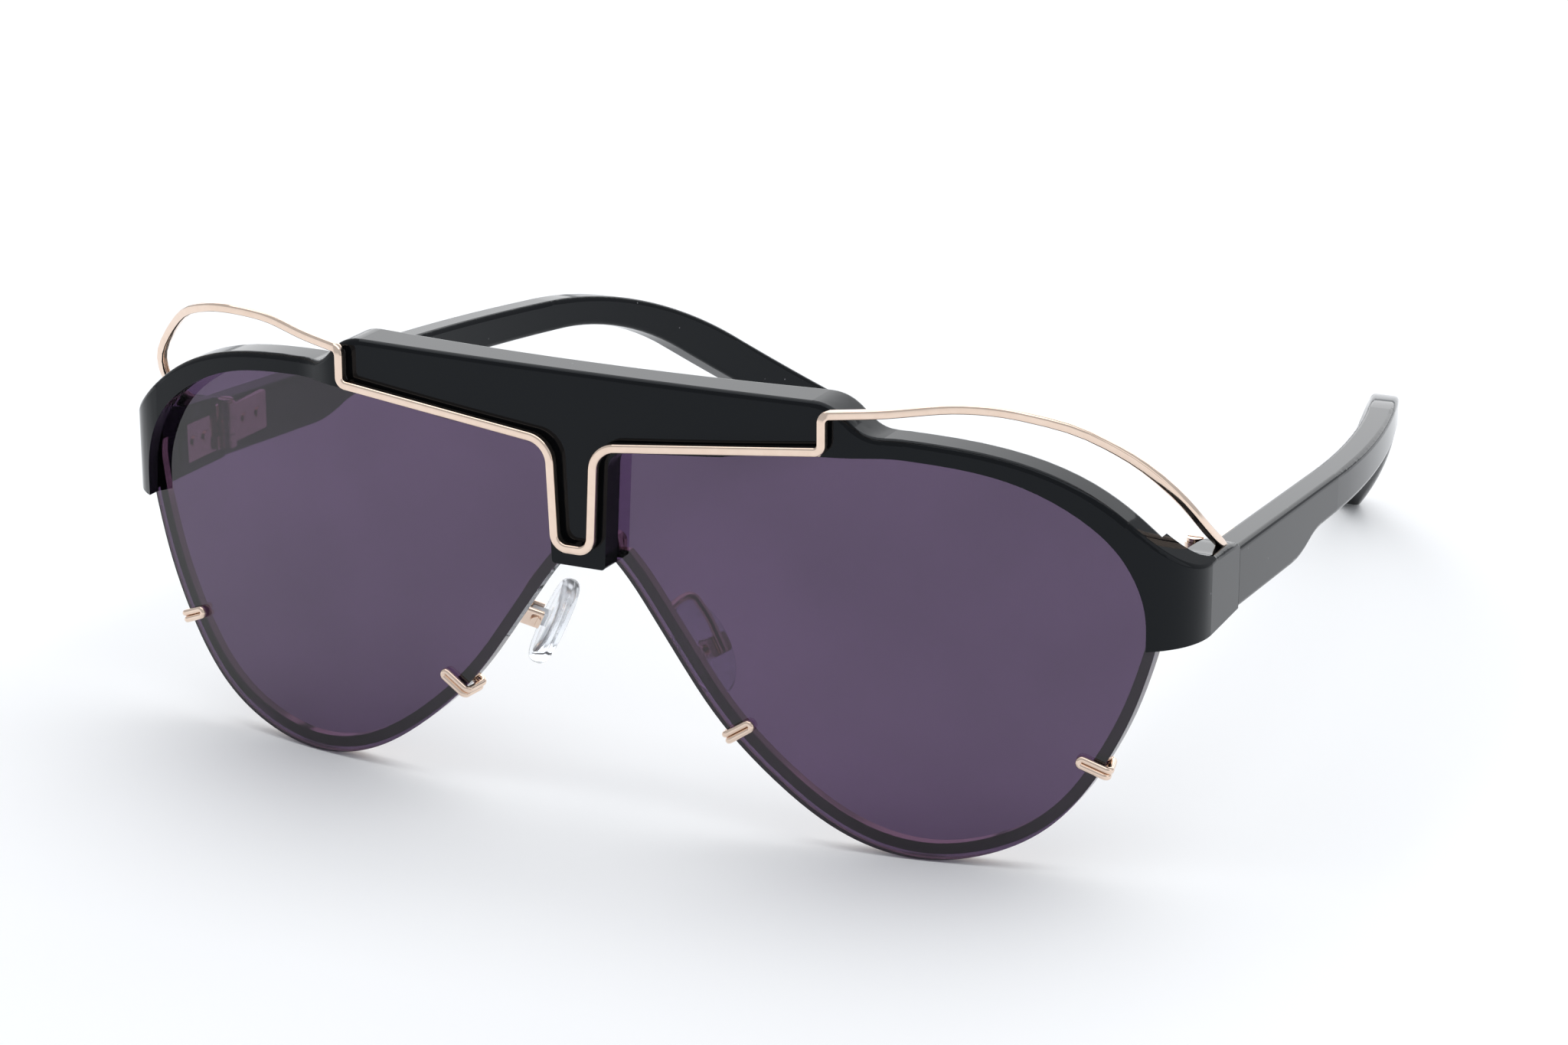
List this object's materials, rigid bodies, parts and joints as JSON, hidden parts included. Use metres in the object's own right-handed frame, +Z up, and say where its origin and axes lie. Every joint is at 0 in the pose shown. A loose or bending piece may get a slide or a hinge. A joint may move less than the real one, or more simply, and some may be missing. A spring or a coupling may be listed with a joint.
{
  "type": "aviator sunglasses",
  "caption": "Browline aviator sunglasses with a black plastic front, a metal trim wire, rimless tinted lenses held by wire claws, adjustable nose pads and folding temples.",
  "frame": {"origin": "centre of the whole part's outline at the lowest point, with the temples open", "axes": "+X towards the wearer's left, +Y from the front towards the wearer's ears, +Z up"},
  "size_m": [0.1472, 0.1669, 0.0582],
  "materials": {
    "black_plastic": "polished acetate, gloss black",
    "tinted_lens": "purple-grey tinted plastic, polished",
    "gold_metal": "pale rose-gold plating, polished",
    "clear_silicone": "clear soft silicone, satin",
    "pad_boss": "clear hard plastic",
    "steel_core": "bare steel strip"
  },
  "bodies": {
    "front": {"front_frame": "black_plastic", "lens_left": "tinted_lens", "lens_right": "tinted_lens", "rear_rim_left": "gold_metal", "rear_rim_right": "gold_metal", "rear_bridge": "gold_metal", "bridge_screw": "gold_metal", "trim_wire": "gold_metal", "trim_wire_pins": "gold_metal", "lens_claw_inner_left": "gold_metal", "lens_claw_inner_right": "gold_metal", "lens_claw_outer_left": "gold_metal", "lens_claw_outer_right": "gold_metal", "pad_arm_left": "gold_metal", "pad_arm_right": "gold_metal", "pad_box_left": "gold_metal", "pad_box_right": "gold_metal", "pad_screw_left": "gold_metal", "pad_screw_right": "gold_metal", "front_hinge_left": "gold_metal", "front_hinge_right": "gold_metal", "hinge_screw_left": "gold_metal", "hinge_screw_right": "gold_metal", "front_hinge_rivets_left": "gold_metal", "front_hinge_rivets_right": "gold_metal"},
    "pad_left": {"nose_pad_left": "clear_silicone", "nose_pad_boss_left": "pad_boss"},
    "pad_right": {"nose_pad_right": "clear_silicone", "nose_pad_boss_right": "pad_boss"},
    "temple_left": {"temple_left": "black_plastic", "temple_core_left": "steel_core", "temple_hinge_left": "gold_metal", "temple_hinge_rivets_left": "gold_metal"},
    "temple_right": {"temple_right": "black_plastic", "temple_core_right": "steel_core", "temple_hinge_right": "gold_metal", "temple_hinge_rivets_right": "gold_metal"}
  },
  "joints": [
    {"name": "temple_left_fold", "type": "hinge", "parent": "front", "child": "temple_left", "pos_m": [0.0679, -0.0527, 0.03425], "axis": [0, 0, 1], "range_deg": [0, 84]},
    {"name": "temple_right_fold", "type": "hinge", "parent": "front", "child": "temple_right", "pos_m": [-0.0679, -0.0527, 0.03425], "axis": [0, 0, -1], "range_deg": [0, 78]},
    {"name": "nose_pad_left_rock", "type": "hinge", "parent": "front", "child": "pad_left", "pos_m": [0.01253, -0.06985, 0.02118], "axis": [-0.4455, -0.866, -0.227], "range_deg": [-12, 12]},
    {"name": "nose_pad_right_rock", "type": "hinge", "parent": "front", "child": "pad_right", "pos_m": [-0.01253, -0.06985, 0.02118], "axis": [0.4455, -0.866, -0.227], "range_deg": [-12, 12]}
  ]
}
